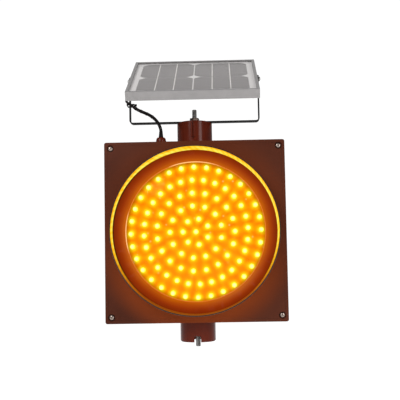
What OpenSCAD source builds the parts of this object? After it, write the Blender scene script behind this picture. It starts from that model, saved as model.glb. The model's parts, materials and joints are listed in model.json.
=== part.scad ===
// Solar warning light: a round amber LED lamp in a square housing, with a tilting solar
// panel on a strap bracket above it. All sizes are in millimetres.
// +Z is up, the lamp shines towards -Y, and the clamping rod stands on the Z axis.
// The bottom socket's lower rim lies at z = 0.

/* [Housing] */
// Width and height of the square housing
case_w = 350; // [345:1:356]
// Depth of the housing, front face to back face
case_d = 130; // [124:1:140]
// Wall thickness of the moulded shells
wall = 3; // [2.5:0.5:3.5]
// Radius of the housing's outer corners
corner_r = 4; // [3.5:0.5:8]
// Depth of the front cover
cover_d = 15; // [14:0.5:17]

/* [Sockets and rod] */
// Outer diameter of the round mounting sockets
socket_d = 70; // [60:1:80]
// Height of the top socket
top_socket_h = 46; // [40:1:55]
// Height of the bottom socket
bottom_socket_h = 40; // [34:1:50]
// Diameter of the clamping rod
rod_d = 10; // [8:1:12]
// How far the rod stands below the bottom socket
rod_below = 10.6; // [8:0.1:14]
// How far the rod stands above the bracket strap
rod_above = 24.5; // [20:0.5:30]

/* [Lamp] */
// Radius of the lens that shows
lens_r = 137; // [134:1:140]
// Inner radius of the visor
visor_r = 158; // [156:1:160]
// How far the visor stands in front of the housing
visor_len = 44; // [20:1:60]
// Distance from one ring of LEDs to the next
ring_pitch = 25.7; // [24:0.1:26]
// Diameter of one LED
led_d = 8; // [5:0.5:8]

/* [Solar panel] */
// Width of the panel frame
panel_w = 256; // [240:1:260]
// Length of the panel frame, front edge to rear edge
panel_l = 238; // [220:1:260]
// Slope of the panel when the light is new, front edge low
panel_tilt = 28; // [20:1:35]
// Height of the tilt pivots above the strap
pivot_h = 85.5; // [80:0.5:95]

/* [Bracket] */
// Thickness of the strap steel
strap_t = 2.5; // [2:0.5:4]
// Width of the strap steel
strap_w = 16; // [16:1:18]

/* [Solar lead] */
// Diameter of the lead
lead_d = 5; // [4:0.5:5]

/* [Hidden] */
$fn = 96;
cut = 1;
fit = 0.05;

// colours
housing_colour = [0.33, 0.14, 0.10];
socket_colour = [0.30, 0.08, 0.05];
dark_plastic = [0.12, 0.10, 0.10];
steel = [0.72, 0.72, 0.73];
zinc = [0.60, 0.60, 0.58];
alloy = [0.70, 0.70, 0.72];
amber = [1.00, 0.60, 0.05];
board_green = [0.05, 0.28, 0.12];
rubber_black = [0.05, 0.05, 0.05];

// heights along the rod, from the bottom up
case_z0 = bottom_socket_h;
case_z1 = case_z0 + case_w;
mid_z = case_z0 + case_w / 2;
strap_z0 = case_z1 + top_socket_h;
strap_z1 = strap_z0 + strap_t;
pivot_z = strap_z1 + pivot_h;

// depths, from the front back
front_y = -case_d / 2;
back_y = case_d / 2;
seal_t = 1.5;
split_y = front_y + cover_d;
face_back_y = front_y + wall;

// corner screws
screw_inset = 12;
corner_at = case_w / 2 - screw_inset;
pocket_r = 7;
pocket_depth = 5;
corner_post_r = 10;
case_post_r = 10;
cover_screw_r = 2.5;
cover_screw_head = [4.6, 3.2];
cover_screw_len = 22;

// lamp module, measured along Y
visor_t = 2.5;
visor_outer_r = visor_r + visor_t;
flange_r = 168;
flange_t = 2.5;
visor_flange_y = face_back_y;
bezel_flange_y = visor_flange_y + flange_t;
bezel_lip_y = front_y + 15.5;
bezel_t = 2.5;
skirt_r = 155;
skirt_t = 2.5;
lens_y = front_y + 18;
lens_t = 3;
lens_flange_r = 152;
lens_rise = 13;
gasket_in_r = 142;
module_y = lens_y + 2 * lens_t;
module_r = 150;
module_end_y = module_y + 27;
clip_y = module_y + lens_t;
clip_post_r = 6;
clip_at = 176;
clip_t = 2.5;
clip_in_r = 160;
clip_out_r = 182;
clip_w = 16;

// LED board
board_r = 140;
board_t = 1.6;
led_board_y = module_end_y - lens_t - 8.4;
led_base_r = led_d / 2 + 0.5;
led_base_t = 1;
led_body = 5;
ring_counts = [1, 7, 13, 19, 28, 32];
ring_starts = [0, 180, 180, 0, 3.5, 1];
board_screw_at = 4.5 * ring_pitch;
board_screws_n = 6;

// rod and its nuts
rod_r = rod_d / 2;
rod_hole_r = rod_r + 0.3;
groove_r = rod_r - 0.6;
groove_w = 1.5;
nut_flats = 17;
thin_nut_t = 5;
nut_t = 8;
washer_r = 10;
washer_t = 2;
sleeve_r = rod_r + 3;
socket_wall = 5;
socket_top_t = 6;
socket_web_z = 26;
socket_web_t = 8;
seam_w = 1.6;
seam_h = 36;
seam_rib_w = 3.4;
seam_rib_h = 30;
seam_rib_out = 1.2;
seam_turn = -4;
notch_w = 13;
notch_h = 12;

// panel, in its own frame: u across, v up the slope, n out of the face
pivot_n = -3.2;
panel_t = 18;
rail_t = 1.5;
lip_w = 6;
foot_w = 14;
ledge_w = 8;
glass_t = 3.2;
cell_t = 0.4;
sheet_t = 0.9;
glass_top_n = panel_t / 2 - rail_t;
glass_low_n = glass_top_n - glass_t;
cell_low_n = glass_low_n - cell_t;
sheet_low_n = cell_low_n - sheet_t;
laminate_gap = 0.2;
cell_w = 108.5;
cell_gap = 2.5;
cell_round_r = 68.7;
strip_gap = 1.0;
key_len = 22;
key_t = 2;

// tilt pivots
leg_gap = 1.0;
leg_in_x = panel_w / 2 + leg_gap;
leg_out_x = leg_in_x + strap_t;
bend_r = 5;
pivot_r = 2.5;
pivot_fit = 0.08;
pivot_head_r = 4.6;
pivot_head_t = 3.4;
pivot_nut_flats = 8;
pivot_nut_t = 4;
pivot_washer_r = 6;
touch = 0.1;

// junction box under the panel, and the gland where the lead leaves it
jb_size = [62, 50];
jb_at = [-56, -3];
jb_low_n = -7;
jb_lid_t = 3;
jb_gland_at = [-97, 3, -4];
jb_gland_r = 4.5;

// rocker switch on the back
switch_at = [100, 300];
switch_bezel = [16, 24, 2];
switch_well = [13.6, 21.6, 18];
rocker_half = 5.2;
rocker_r = 9;
rocker_clear = 0.4;
rocker_turn = 8;
rocker_pin_r = 1;
rocker_pivot_y = back_y - 1.5;

// cable gland on the housing, and the lead's route in whole millimetres and halves
gland_at = [-66, -34];
gland_h = 12;
gland_r = 10;
gland_flat_r = 7;
gland_spigot_r = 6;
gland_spigot_len = 14;
lead_lower_route = [
    [-66, -34, 402], [-66, -34, 406], [-66, -34, 411], [-66, -33.5, 416], [-67, -33, 421],
    [-69, -32, 427], [-72, -30.5, 433], [-76.5, -28.5, 439], [-82.5, -26, 445],
    [-90, -23, 450.5], [-98, -19, 455], [-106.5, -15, 459.5], [-114.5, -12, 464],
    [-122, -11, 469.5], [-128, -11, 474]
];
lead_upper_route = [
    [-128, -11, 474], [-132, -11, 477], [-135.5, -9, 480], [-137.5, -4.5, 483],
    [-138, 0, 486], [-137.5, 4.5, 489], [-135.5, 8.5, 492], [-132, 11.5, 495],
    [-127.5, 12.5, 498.5], [-122.5, 12, 502.5], [-117.5, 10.5, 507], [-113, 8.5, 512],
    [-109, 6.5, 517], [-106, 4.5, 521.5], [-103, 3.5, 524], [-100, 3, 524.7],
    [-97, 3, 524.7]
];
tie_z = 472.5;
tie_h = 3;

// inside the housing
battery_box = [[-120, -3, 60], [-26, back_y - wall, 211]];
clamp_z = 125;
clamp_h = 25;
clamp_foot = 12;
pcb_box = [30, 140, 90, 180];
pcb_y = 50;
pcb_post_inset = 6;
block_box = [[46, 38, 92], [118, 50, 104]];
block_ways = 6;
wire_d = 3;
battery_wire_a = [
    [-95, 40, 219], [-95, 40, 223], [-93, 38, 230], [-84, 35, 236], [-70, 34, 238],
    [-50, 33, 237], [-30, 32, 232], [-14, 31, 222], [-4, 30, 205], [0, 30, 180],
    [2, 30, 150], [5, 31, 118], [12, 34, 92], [22, 38, 74], [34, 42, 65], [44, 44, 68],
    [50, 44, 76], [52, 44, 86], [52, 44, 95]
];
battery_wire_b = [
    [-51, 40, 219], [-51, 40, 223], [-49, 41, 228], [-42, 42, 232], [-32, 42, 231],
    [-20, 41, 224], [-11, 40, 210], [-7, 40, 190], [-5, 40, 160], [-2, 40, 128],
    [4, 40, 98], [14, 41, 72], [28, 43, 57], [44, 44, 54], [56, 44, 59], [62.5, 44, 69],
    [64, 44, 80], [64, 44, 95]
];
led_wire_route = [
    [62, -11, 190], [62, -5, 190], [62, 6, 188], [60, 16, 181], [56, 23, 170],
    [48, 27, 155], [40, 29, 135], [38, 30, 115], [42, 31, 95], [50, 32, 79], [61, 34, 69],
    [72, 37, 66], [81, 41, 68], [86.5, 43.5, 75], [88, 44, 84], [88, 44, 95]
];
panel_wire_route = [
    [-66, -34, 376], [-66, -34, 372], [-65, -29, 365], [-62, -18, 360], [-56, -4, 356],
    [-46, 8, 352], [-30, 18, 347], [-8, 26, 341], [20, 32, 334], [50, 36, 325],
    [85, 36, 320], [120, 34, 312], [145, 32, 295], [156, 31, 265], [158, 31, 225],
    [158, 31, 180], [157, 32, 130], [153, 36, 95], [145, 40, 72], [133, 43, 61],
    [121, 44, 63], [113.5, 44, 73], [112, 44, 84], [112, 44, 95]
];

// ---- helpers ----

// rectangle with round corners, centred
module round_rect(w, h, r) {
    square([w - 2 * r, h], center = true);
    square([w, h - 2 * r], center = true);
    for (x = [-1, 1], y = [-1, 1])
        translate([x * (w / 2 - r), y * (h / 2 - r)]) circle(r);
}

// a plate from depth y0 back to depth y1, drawn as seen from the front, about the lamp's centre
module plate(y0, y1) {
    translate([0, y1, mid_z]) rotate([90, 0, 0]) linear_extrude(y1 - y0) children();
}

// a body of revolution about the lamp's axis, from a profile of [radius, -y]
module about_lamp() {
    translate([0, 0, mid_z]) rotate([90, 0, 0]) rotate_extrude() children();
}

// a round bar along Y from y0 to y1, at x and z
module bar_y(x, z, r, y0, y1) {
    translate([x, y1, z]) rotate([90, 0, 0]) cylinder(r = r, h = y1 - y0);
}

// a box between two opposite corners
module box(low, high) {
    translate(low) cube(high - low);
}

// a hexagonal nut with its bore, standing on the XY plane
module hex_nut(flats, t, bore_r) {
    difference() {
        cylinder(d = flats / cos(30), h = t, $fn = 6);
        translate([0, 0, -cut]) cylinder(r = bore_r, h = t + 2 * cut);
    }
}

// a washer standing on the XY plane
module washer(r, bore_r, t) {
    difference() {
        cylinder(r = r, h = t);
        translate([0, 0, -cut]) cylinder(r = bore_r, h = t + 2 * cut);
    }
}

// a round bar with a domed pan head, head at the top, shank down to -len
module pan_screw(shank_r, len, head_r, head_t) {
    edge = head_t * 0.35;
    translate([0, 0, -len]) cylinder(r = shank_r, h = len + edge);
    rotate_extrude() polygon([
        [0, 0], [head_r, 0], [head_r, edge], [head_r * 0.86, head_t * 0.8],
        [head_r * 0.5, head_t], [0, head_t]
    ]);
}

// the same screw with its head towards -Y at depth y, and its shank running back
module screw_back(x, y, z, shank_r, len, head_r, head_t) {
    translate([x, y, z]) rotate([90, 0, 0]) pan_screw(shank_r, len, head_r, head_t);
}

// the same screw with its head towards +Y, and its shank running forward
module screw_forward(x, y, z, shank_r, len, head_r, head_t) {
    translate([x, y, z]) rotate([-90, 0, 0]) pan_screw(shank_r, len, head_r, head_t);
}

// moves panel pieces from the panel's own frame to their place
module on_panel() {
    translate([0, 0, pivot_z]) rotate([panel_tilt, 0, 0]) translate([0, 0, -pivot_n]) children();
}

// sweeps a round tube along a route; each ring stands square to the route
function unit(v) = v / norm(v);
function heading(p, i) =
    unit(i == 0 ? p[1] - p[0] : i == len(p) - 1 ? p[i] - p[i - 1] : p[i + 1] - p[i - 1]);
function across(t) = unit(cross(t, abs(t[1]) < 0.9 ? [0, 1, 0] : [1, 0, 0]));
function ring(c, t, r, sides) = [
    for (k = [0:sides - 1]) let (a = 360 * k / sides)
        c + r * cos(a) * across(t) + r * sin(a) * cross(t, across(t))
];
module tube(route, d, sides) {
    n = len(route);
    points = [for (i = [0:n - 1]) each ring(route[i], heading(route, i), d / 2, sides)];
    walls = [
        for (i = [0:n - 2], k = [0:sides - 1]) let (m = (k + 1) % sides)
            each [
                [i * sides + k, (i + 1) * sides + k, i * sides + m],
                [i * sides + m, (i + 1) * sides + k, (i + 1) * sides + m]
            ]
    ];
    near_end = [for (k = [0:sides - 1]) k];
    far_end = [for (k = [sides - 1:-1:0]) (n - 1) * sides + k];
    polyhedron(points, concat(walls, [near_end, far_end]));
}

// ---- housing ----

module front_cover() color(housing_colour) {
    step = 1.2;
    band = 7;
    difference() {
        union() {
            difference() {
                union() {
                    plate(front_y + step, split_y - seal_t) round_rect(case_w, case_w, corner_r);
                    plate(front_y, front_y + step + fit)
                        round_rect(case_w - 2 * band, case_w - 2 * band, corner_r);
                }
                plate(face_back_y, split_y) square(case_w - 2 * wall, center = true);
            }
            for (x = [-1, 1], z = [-1, 1]) {
                bar_y(x * corner_at, mid_z + z * corner_at, corner_post_r, front_y + step,
                    split_y - seal_t);
                bar_y(x * clip_at / sqrt(2), mid_z + z * clip_at / sqrt(2), clip_post_r,
                    face_back_y - fit, clip_y);
            }
        }
        bar_y(0, mid_z, visor_outer_r + 0.3, front_y - cut, split_y);
        for (x = [-1, 1], z = [-1, 1]) {
            bar_y(x * corner_at, mid_z + z * corner_at, pocket_r, front_y - cut,
                front_y + pocket_depth);
            bar_y(x * corner_at, mid_z + z * corner_at, cover_screw_r + 0.3, front_y, split_y);
            bar_y(x * clip_at / sqrt(2), mid_z + z * clip_at / sqrt(2), 2 + fit, clip_y - 12,
                clip_y + cut);
        }
    }
}

module rear_case() color(housing_colour) {
    flange = 10;
    back_panel = 250;
    back_raise = 2;
    difference() {
        union() {
            difference() {
                union() {
                    plate(split_y, back_y - back_raise) round_rect(case_w, case_w, corner_r);
                    plate(back_y - back_raise - fit, back_y)
                        round_rect(case_w - 12, case_w - 12, corner_r);
                }
                plate(split_y + wall, back_y - wall) square(case_w - 2 * wall, center = true);
                plate(split_y - cut, split_y + wall + cut)
                    square(case_w - 2 * flange, center = true);
            }
            for (x = [-1, 1], z = [-1, 1])
                bar_y(x * corner_at, mid_z + z * corner_at, case_post_r, split_y, split_y + 26);
        }
        for (x = [-1, 1], z = [-1, 1])
            bar_y(x * corner_at, mid_z + z * corner_at, cover_screw_r + fit, split_y - cut,
                split_y + 18);
        for (z = [case_z0 - cut, case_z1 - wall - cut])
            translate([0, 0, z]) cylinder(r = rod_hole_r, h = wall + 2 * cut);
        translate([gland_at[0], gland_at[1], case_z1 - wall - cut])
            cylinder(r = gland_spigot_r + fit, h = wall + 2 * cut);
        translate([switch_at[0] - switch_well[0] / 2 - fit, back_y - wall - cut,
            switch_at[1] - switch_well[1] / 2 - fit])
            cube([switch_well[0] + 2 * fit, wall + 2 * cut, switch_well[1] + 2 * fit]);
        translate([0, back_y + back_raise, mid_z - 60]) rotate([90, 0, 0])
            linear_extrude(back_raise + 0.8)
                difference() {
                    round_rect(back_panel, 170, 12);
                    round_rect(back_panel - 8, 162, 8);
                }
    }
}

module case_seal() color(rubber_black) {
    plate(split_y - seal_t, split_y) difference() {
        round_rect(case_w - 2, case_w - 2, corner_r - 1);
        square(case_w - 18, center = true);
    }
}

module cover_screws() color(zinc) {
    for (x = [-1, 1], z = [-1, 1])
        screw_back(x * corner_at, front_y + pocket_depth, mid_z + z * corner_at, cover_screw_r,
            cover_screw_len, cover_screw_head[0], cover_screw_head[1]);
}

// ---- lamp ----

module visor() color(dark_plastic) {
    about_lamp() polygon([
        [visor_r, -visor_flange_y - flange_t], [flange_r, -visor_flange_y - flange_t],
        [flange_r, -visor_flange_y], [visor_outer_r, -visor_flange_y],
        [visor_outer_r, -front_y + visor_len - 1], [visor_outer_r - 0.8, -front_y + visor_len],
        [visor_r + 0.4, -front_y + visor_len], [visor_r, -front_y + visor_len - 0.6]
    ]);
}

module bezel_ring() color(dark_plastic) {
    about_lamp() polygon([
        [lens_r, -bezel_lip_y], [visor_r, -bezel_flange_y], [flange_r, -bezel_flange_y],
        [flange_r, -bezel_flange_y - bezel_t], [skirt_r, -bezel_flange_y - bezel_t],
        [skirt_r, -module_y], [skirt_r - skirt_t, -module_y],
        [skirt_r - skirt_t, -bezel_flange_y - 2 * bezel_t], [lens_r + 3, -lens_y],
        [lens_r, -lens_y]
    ]);
}

// the lens is a shallow dome; its inner and outer skins are arcs of the same centre
function dome(r_edge, rise, y_edge, steps) =
    let (ball = (r_edge * r_edge + rise * rise) / (2 * rise), a1 = asin(r_edge / ball))
    [for (i = [0:steps]) let (a = a1 * i / steps)
        [ball * sin(a), -y_edge + rise - ball * (1 - cos(a))]];
function backwards(p) = [for (i = [len(p) - 1:-1:0]) p[i]];

module lens() color(amber, 0.5) {
    steps = 14;
    outer = dome(lens_r - 1, lens_rise, lens_y, steps);
    inner = dome(lens_r - 1 - lens_t, lens_rise - 1, lens_y + lens_t, steps);
    about_lamp() polygon(concat(
        outer,
        [[lens_flange_r, -lens_y], [lens_flange_r, -lens_y - lens_t]],
        backwards(inner)
    ));
}

module lens_gasket() color(rubber_black) {
    plate(lens_y + lens_t, module_y) difference() {
        circle(lens_flange_r);
        circle(gasket_in_r);
    }
}

module module_back() color([0.85, 0.85, 0.85]) {
    boss_y = led_board_y + board_t;
    difference() {
        union() {
            about_lamp() polygon([
                [gasket_in_r + 1, -module_y], [flange_r - 1, -module_y],
                [flange_r - 1, -module_y - lens_t], [module_r, -module_y - lens_t],
                [module_r - 4, -module_end_y], [0, -module_end_y],
                [0, -module_end_y + lens_t], [gasket_in_r, -module_end_y + lens_t]
            ]);
            for (i = [0:board_screws_n - 1]) let (a = 30 + 60 * i)
                bar_y(board_screw_at * cos(a), mid_z + board_screw_at * sin(a), 4, boss_y,
                    module_end_y - fit);
        }
        for (i = [0:board_screws_n - 1]) let (a = 30 + 60 * i)
            bar_y(board_screw_at * cos(a), mid_z + board_screw_at * sin(a), 1.5 + fit,
                boss_y - cut, boss_y + 8);
    }
}

module module_clips() color(zinc) {
    for (q = [0:3])
        translate([0, clip_y, mid_z]) rotate([0, 45 + 90 * q, 0]) difference() {
            box([clip_in_r, 0, -clip_w / 2], [clip_out_r, clip_t, clip_w / 2]);
            bar_y(clip_at, 0, 2 + 0.2, -cut, clip_t + cut);
        }
}

module clip_screws() color(steel) {
    for (x = [-1, 1], z = [-1, 1])
        screw_forward(x * clip_at / sqrt(2), clip_y + clip_t, mid_z + z * clip_at / sqrt(2), 2,
            11, 3.8, 2.4);
}

module led_board() color([0.06, 0.06, 0.07]) {
    difference() {
        bar_y(0, mid_z, board_r, led_board_y, led_board_y + board_t);
        for (i = [0:board_screws_n - 1]) let (a = 30 + 60 * i)
            bar_y(board_screw_at * cos(a), mid_z + board_screw_at * sin(a), 1.7,
                led_board_y - cut, led_board_y + board_t + cut);
    }
}

// one LED: a flanged round body with a domed end, base on the XY plane
module led() {
    rotate_extrude($fn = 24) polygon(concat(
        [[0, 0], [led_base_r, 0], [led_base_r, led_base_t], [led_d / 2, led_base_t]],
        [for (a = [0:22.5:67.5]) [led_d / 2 * cos(a), led_body + led_d / 2 * sin(a)]],
        [[0, led_body + led_d / 2]]
    ));
}

module leds() color(amber) {
    for (k = [0:len(ring_counts) - 1])
        for (i = [0:ring_counts[k] - 1]) {
            a = ring_starts[k] + 360 * i / ring_counts[k];
            translate([k * ring_pitch * cos(a), led_board_y, mid_z + k * ring_pitch * sin(a)])
                rotate([90, 0, 0]) led();
        }
}

module board_screws() color(steel) {
    for (i = [0:board_screws_n - 1]) let (a = 30 + 60 * i)
        screw_back(board_screw_at * cos(a), led_board_y, mid_z + board_screw_at * sin(a), 1.5,
            8, 2.8, 2);
}

// ---- sockets and rod ----

module top_socket() color(socket_colour) {
    r = socket_d / 2;
    seam_z = top_socket_h - 1 - seam_h;
    translate([0, 0, case_z1]) difference() {
        union() {
            cylinder(r = r, h = top_socket_h - 2);
            cylinder(r = r - 2, h = top_socket_h);
            rotate([0, 0, seam_turn])
                for (x = [-1, 1])
                    translate([x * (seam_w + seam_rib_w) / 2 - seam_rib_w / 2, -r - seam_rib_out,
                        top_socket_h - 3 - seam_rib_h])
                        cube([seam_rib_w, seam_rib_out + 3, seam_rib_h]);
        }
        translate([0, 0, -cut])
            cylinder(r = r - socket_wall, h = top_socket_h - socket_top_t + cut);
        translate([0, 0, -cut]) cylinder(r = rod_hole_r, h = top_socket_h + 2 * cut);
        rotate([0, 0, seam_turn]) translate([-seam_w / 2, -r - 2 * cut, seam_z])
            cube([seam_w, socket_wall, seam_h - 2]);
    }
}

module bottom_socket() color(socket_colour) {
    r = socket_d / 2;
    difference() {
        union() {
            cylinder(r = r - 1.5, h = bottom_socket_h);
            translate([0, 0, 1.5]) cylinder(r = r, h = bottom_socket_h - 1.5);
        }
        translate([0, 0, -cut]) cylinder(r = r - socket_wall, h = socket_web_z + cut);
        translate([0, 0, socket_web_z + socket_web_t])
            cylinder(r = r - socket_wall, h = bottom_socket_h);
        translate([0, 0, -cut]) cylinder(r = rod_hole_r, h = bottom_socket_h + 2 * cut);
        translate([-notch_w / 2, -r - cut, -cut]) cube([notch_w, 2 * socket_wall, notch_h + cut]);
    }
}

module threaded_rod() color(steel) {
    low = -rod_below;
    high = strap_z1 + rod_above;
    collar_z = strap_z1 + washer_t + thin_nut_t + 0.3;
    chamfer = 1;
    rotate_extrude() polygon([
        [0, low], [rod_r - chamfer, low], [rod_r, low + chamfer], [rod_r, 1], [groove_r, 1.4],
        [groove_r, 1.4 + groove_w], [rod_r, 1.8 + groove_w], [rod_r, collar_z],
        [groove_r, collar_z + 0.4], [groove_r, collar_z + 0.4 + groove_w],
        [rod_r, collar_z + 0.8 + groove_w], [rod_r, high - chamfer], [rod_r - chamfer, high],
        [0, high]
    ]);
}

module rod_sleeve() color(zinc) {
    translate([0, 0, case_z0 + wall]) washer(sleeve_r, rod_r + 0.3, case_w - 2 * wall);
}

module top_nut() color(zinc) {
    translate([0, 0, strap_z1 + washer_t]) rotate([0, 0, 15])
        hex_nut(nut_flats, thin_nut_t, rod_r + fit);
}

module top_washer() color(zinc) {
    translate([0, 0, strap_z1]) washer(washer_r, rod_r + 0.3, washer_t);
}

module bottom_nut() color(zinc) {
    translate([0, 0, socket_web_z - washer_t - nut_t]) hex_nut(nut_flats, nut_t, rod_r + fit);
}

module bottom_washer() color(zinc) {
    translate([0, 0, socket_web_z - washer_t]) washer(washer_r, rod_r + 0.3, washer_t);
}

// ---- inside the housing ----

module battery() color([0.10, 0.10, 0.11]) {
    low = battery_box[0];
    high = battery_box[1];
    difference() {
        box(low, high);
        translate([low[0] + 8, low[1] + 8, high[2] - 3])
            cube([high[0] - low[0] - 16, high[1] - low[1] - 34, 3 + cut]);
    }
}

module battery_terminals() color([0.80, 0.75, 0.60]) {
    for (x = [-95, -51])
        translate([x - 3.15, 39.6, battery_box[1][2]]) cube([6.3, 0.8, 8]);
}

module battery_clamp() color(zinc) {
    t = 2;
    x0 = battery_box[0][0];
    x1 = battery_box[1][0];
    y0 = battery_box[0][1];
    y1 = battery_box[1][1];
    difference() {
        translate([0, 0, clamp_z]) linear_extrude(clamp_h) {
            translate([x0 - t, y0 - t]) square([x1 - x0 + 2 * t, t]);
            translate([x0 - t, y0 - t]) square([t, y1 - y0 + t]);
            translate([x1, y0 - t]) square([t, y1 - y0 + t]);
            translate([x0 - clamp_foot - t, y1 - t]) square([clamp_foot + t, t]);
            translate([x1, y1 - t]) square([clamp_foot + t, t]);
        }
        for (x = [x0 - t - clamp_foot / 2, x1 + t + clamp_foot / 2])
            bar_y(x, clamp_z + clamp_h / 2, 2.2, y1 - t - cut, y1 + cut);
    }
}

module battery_screws() color(steel) {
    t = 2;
    for (x = [battery_box[0][0] - t - clamp_foot / 2, battery_box[1][0] + t + clamp_foot / 2])
        screw_back(x, battery_box[1][1] - t, clamp_z + clamp_h / 2, 2, t, 3.8, 2.4);
}

module controller_board() color(board_green) {
    difference() {
        box([pcb_box[0], pcb_y, pcb_box[2]], [pcb_box[1], pcb_y + board_t, pcb_box[3]]);
        for (x = [pcb_box[0] + pcb_post_inset, pcb_box[1] - pcb_post_inset],
             z = [pcb_box[2] + pcb_post_inset, pcb_box[3] - pcb_post_inset])
            bar_y(x, z, 1.7, pcb_y - cut, pcb_y + board_t + cut);
    }
}

module board_posts() color([0.85, 0.83, 0.78]) {
    for (x = [pcb_box[0] + pcb_post_inset, pcb_box[1] - pcb_post_inset],
         z = [pcb_box[2] + pcb_post_inset, pcb_box[3] - pcb_post_inset])
        difference() {
            bar_y(x, z, 3, pcb_y + board_t, back_y - wall);
            bar_y(x, z, 1.5 + fit, pcb_y, pcb_y + board_t + 7);
        }
}

module controller_screws() color(steel) {
    for (x = [pcb_box[0] + pcb_post_inset, pcb_box[1] - pcb_post_inset],
         z = [pcb_box[2] + pcb_post_inset, pcb_box[3] - pcb_post_inset])
        screw_back(x, pcb_y, z, 1.5, 8, 2.8, 2);
}

module controller_parts() color([0.16, 0.16, 0.18]) {
    // two capacitors, a coil, a heat sink with fins, two power transistors and a timer chip
    for (x = [50, 66]) bar_y(x, 162, 6, pcb_y - 20, pcb_y);
    difference() {
        bar_y(122, 160, 11, pcb_y - 10, pcb_y);
        bar_y(122, 160, 4, pcb_y - 10 - cut, pcb_y - 2);
    }
    difference() {
        box([80, pcb_y - 24, 148], [106, pcb_y, 172]);
        for (i = [0:4]) translate([82.4 + 4.8 * i, pcb_y - 24 - cut, 148 - cut]) cube([2, 20, 26]);
    }
    for (x = [52, 70]) box([x - 5, pcb_y - 5, 122], [x + 5, pcb_y, 137]);
    box([92, pcb_y - 3, 122], [110, pcb_y, 130]);
}

module terminal_block() color([0.05, 0.45, 0.15]) {
    pitch = (block_box[1][0] - block_box[0][0]) / block_ways;
    difference() {
        box(block_box[0], block_box[1]);
        for (i = [0:block_ways - 1]) {
            translate([block_box[0][0] + (i + 0.5) * pitch, 44, block_box[0][2] - cut])
                cylinder(r = 2, h = 8 + cut);
            bar_y(block_box[0][0] + (i + 0.5) * pitch, 99.5, 2.4, block_box[0][1] - cut, 41);
        }
    }
}

module battery_wires() color([0.55, 0.05, 0.05]) {
    tube(battery_wire_a, wire_d, 8);
    tube(battery_wire_b, wire_d, 8);
}

module led_wires() color([0.6, 0.45, 0.05]) {
    tube(led_wire_route, wire_d, 8);
}

module panel_wires() color(rubber_black) {
    tube(panel_wire_route, wire_d, 8);
}

// ---- rocker switch ----

module switch_body() color(dark_plastic) {
    translate([switch_at[0], 0, switch_at[1]]) difference() {
        union() {
            box([-switch_bezel[0] / 2, back_y, -switch_bezel[1] / 2],
                [switch_bezel[0] / 2, back_y + switch_bezel[2], switch_bezel[1] / 2]);
            box([-switch_well[0] / 2, back_y - switch_well[2], -switch_well[1] / 2],
                [switch_well[0] / 2, back_y + fit, switch_well[1] / 2]);
        }
        box([-rocker_half - 0.3, back_y - 12, -rocker_r - rocker_clear],
            [rocker_half + 0.3, back_y + switch_bezel[2] + cut, rocker_r + rocker_clear]);
        translate([-rocker_half - 1.2, rocker_pivot_y, 0]) rotate([0, 90, 0])
            cylinder(r = rocker_pin_r + fit, h = 2 * rocker_half + 2.4);
    }
}

module switch_blades() color([0.80, 0.75, 0.60]) {
    for (z = [-5, 5])
        box([switch_at[0] - 2.4, back_y - switch_well[2] - 8, switch_at[1] + z - 0.4],
            [switch_at[0] + 2.4, back_y - switch_well[2], switch_at[1] + z + 0.4]);
}

module power_rocker() color([0.65, 0.05, 0.04]) {
    translate([switch_at[0], rocker_pivot_y, switch_at[1]]) rotate([rocker_turn, 0, 0]) {
        rotate([0, 90, 0]) rotate([0, 0, 180]) translate([0, 0, -rocker_half])
            linear_extrude(2 * rocker_half)
            intersection() {
                circle(rocker_r);
                polygon([[-rocker_r, -4], [rocker_r, -4], [rocker_r, 5.6], [0, 4.2], [-rocker_r, 5.6]]);
            }
        rotate([0, 90, 0]) translate([0, 0, -rocker_half - 1])
            cylinder(r = rocker_pin_r, h = 2 * rocker_half + 2);
    }
}

// ---- cable gland ----

module gland() color(socket_colour) {
    steps = 6;
    translate([gland_at[0], gland_at[1], case_z1]) difference() {
        union() {
            rotate_extrude() polygon(concat(
                [[0, 0], [gland_r, 0], [gland_r, 3]],
                [for (i = [0:steps]) let (a = 15 + 60 * i / steps)
                    [gland_flat_r + (gland_r - gland_flat_r) * cos(a),
                     3 + (gland_h - 3) * sin(a) / sin(75)]],
                [[0, gland_h]]
            ));
            translate([0, 0, -gland_spigot_len])
                cylinder(r = gland_spigot_r, h = gland_spigot_len + fit);
        }
        translate([0, 0, -gland_spigot_len + 2]) cylinder(r = 4, h = gland_spigot_len - 4);
    }
}

module gland_nut() color(dark_plastic) {
    translate([gland_at[0], gland_at[1], case_z1 - wall - 4])
        hex_nut(17, 4, gland_spigot_r + fit);
}

// ---- bracket ----

module bracket_strap() color(dark_plastic) {
    tall = pivot_h + strap_t + strap_w / 2;
    difference() {
        intersection() {
            translate([0, strap_w / 2, strap_z0]) rotate([90, 0, 0]) linear_extrude(strap_w)
                difference() {
                    translate([0, tall]) round_rect(2 * leg_out_x, 2 * tall, bend_r + strap_t);
                    translate([0, tall + strap_t]) round_rect(2 * leg_in_x, 2 * tall, bend_r);
                    translate([-leg_out_x - cut, tall]) square(2 * tall + 2 * leg_out_x);
                }
            union() {
                box([-leg_out_x - cut, -strap_w, strap_z0 - cut],
                    [leg_out_x + cut, strap_w, pivot_z]);
                translate([-leg_out_x - cut, 0, pivot_z]) rotate([0, 90, 0])
                    cylinder(r = strap_w / 2, h = 2 * leg_out_x + 2 * cut);
            }
        }
        translate([0, 0, strap_z0 - cut]) cylinder(r = rod_hole_r, h = strap_t + 2 * cut);
        translate([-leg_out_x - cut, 0, pivot_z]) rotate([0, 90, 0])
            cylinder(r = pivot_r + pivot_fit, h = 2 * leg_out_x + 2 * cut);
    }
}

module at_pivots() {
    for (side = [0, 180])
        translate([0, 0, pivot_z]) rotate([0, 0, side]) rotate([0, 90, 0]) children();
}

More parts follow.
